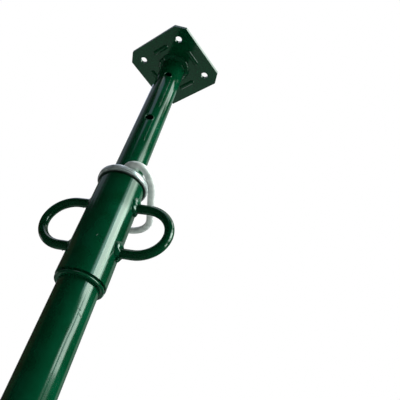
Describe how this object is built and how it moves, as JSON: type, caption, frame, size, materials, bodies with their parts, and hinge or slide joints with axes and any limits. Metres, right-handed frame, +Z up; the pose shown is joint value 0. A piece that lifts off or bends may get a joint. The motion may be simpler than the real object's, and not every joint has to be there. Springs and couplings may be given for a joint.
{
  "type": "adjustable steel prop",
  "caption": "Telescopic steel shoring prop with a covered screw sleeve, handles, a thrust ring and a hooked locking pin between two drilled end plates.",
  "frame": {"origin": "centre of the base plate's underside", "axes": "+Z up along the tubes, X and Y along the sides of the square end plates"},
  "size_m": [0.1554, 0.1514, 1.1974],
  "materials": {
    "green_enamel": "gloss dark green paint on steel",
    "zinc": "bright zinc plating"
  },
  "bodies": {
    "base": {"base_plate": "green_enamel", "base_weld": "green_enamel", "outer_tube": "green_enamel", "thread_collar": "zinc", "collar_thread": "zinc", "collar_weld": "zinc"},
    "ring": {"thrust_ring": "zinc"},
    "sleeve": {"sleeve_tube": "green_enamel", "sleeve_thread": "zinc", "end_ring": "green_enamel", "handle_right": "green_enamel", "handle_left": "green_enamel", "handle_right_upper_weld": "green_enamel", "handle_right_lower_weld": "green_enamel", "handle_left_upper_weld": "green_enamel", "handle_left_lower_weld": "green_enamel"},
    "inner": {"inner_tube": "green_enamel", "head_plate": "green_enamel", "head_weld": "green_enamel"},
    "pin": {"locking_pin": "zinc"}
  },
  "joints": [
    {"name": "handle_turn", "type": "hinge", "parent": "ring", "child": "sleeve", "pos_m": [0, 0, 0.9073], "axis": [0, 0, 1], "range_deg": [0, 4500]},
    {"name": "sleeve_lift", "type": "slide", "parent": "base", "child": "ring", "axis": [0, 0, 1], "range_m": [0, 0.1001]},
    {"name": "tube_draw", "type": "slide", "parent": "ring", "child": "inner", "axis": [0, 0, 1], "range_m": [0, 0.44]},
    {"name": "pin_pull", "type": "slide", "parent": "inner", "child": "pin", "axis": [-0.7071, -0.7071, 0], "range_m": [0, 0.06]}
  ],
  "couplings": [
    {"joint": "sleeve_lift", "follows": "handle_turn", "m_per_rad": 0.0012732}
  ]
}
